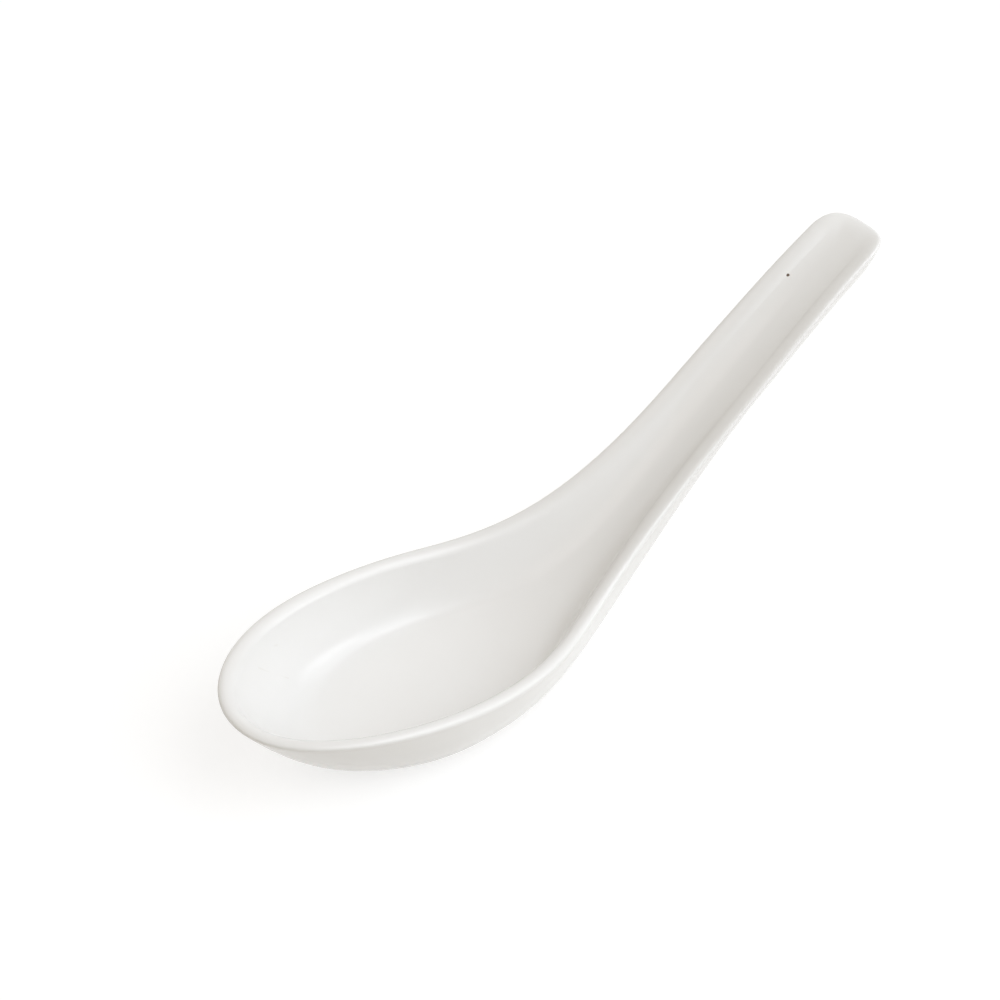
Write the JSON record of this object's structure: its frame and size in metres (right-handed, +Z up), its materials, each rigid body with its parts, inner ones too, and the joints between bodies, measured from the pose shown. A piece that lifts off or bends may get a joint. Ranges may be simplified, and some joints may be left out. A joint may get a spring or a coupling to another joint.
{
  "type": "soup spoon",
  "caption": "White glazed porcelain soup spoon with a deep flat-bottomed oval bowl, an oval foot and a short upswept handle with a shallow trough.",
  "frame": {"origin": "middle of the flat oval foot, on the surface that the spoon stands on", "axes": "+X runs from the bowl towards the end of the handle, +Z is up, and the spoon is mirrored across the XZ plane"},
  "size_m": [0.1324, 0.041, 0.0529],
  "materials": {
    "biscuit": "bare fired porcelain, matt, ground flat under the foot",
    "glaze": "clear glossy glaze over white porcelain"
  },
  "bodies": {
    "root": {"porcelain_body": "biscuit", "glaze_coat": "glaze"}
  },
  "joints": []
}
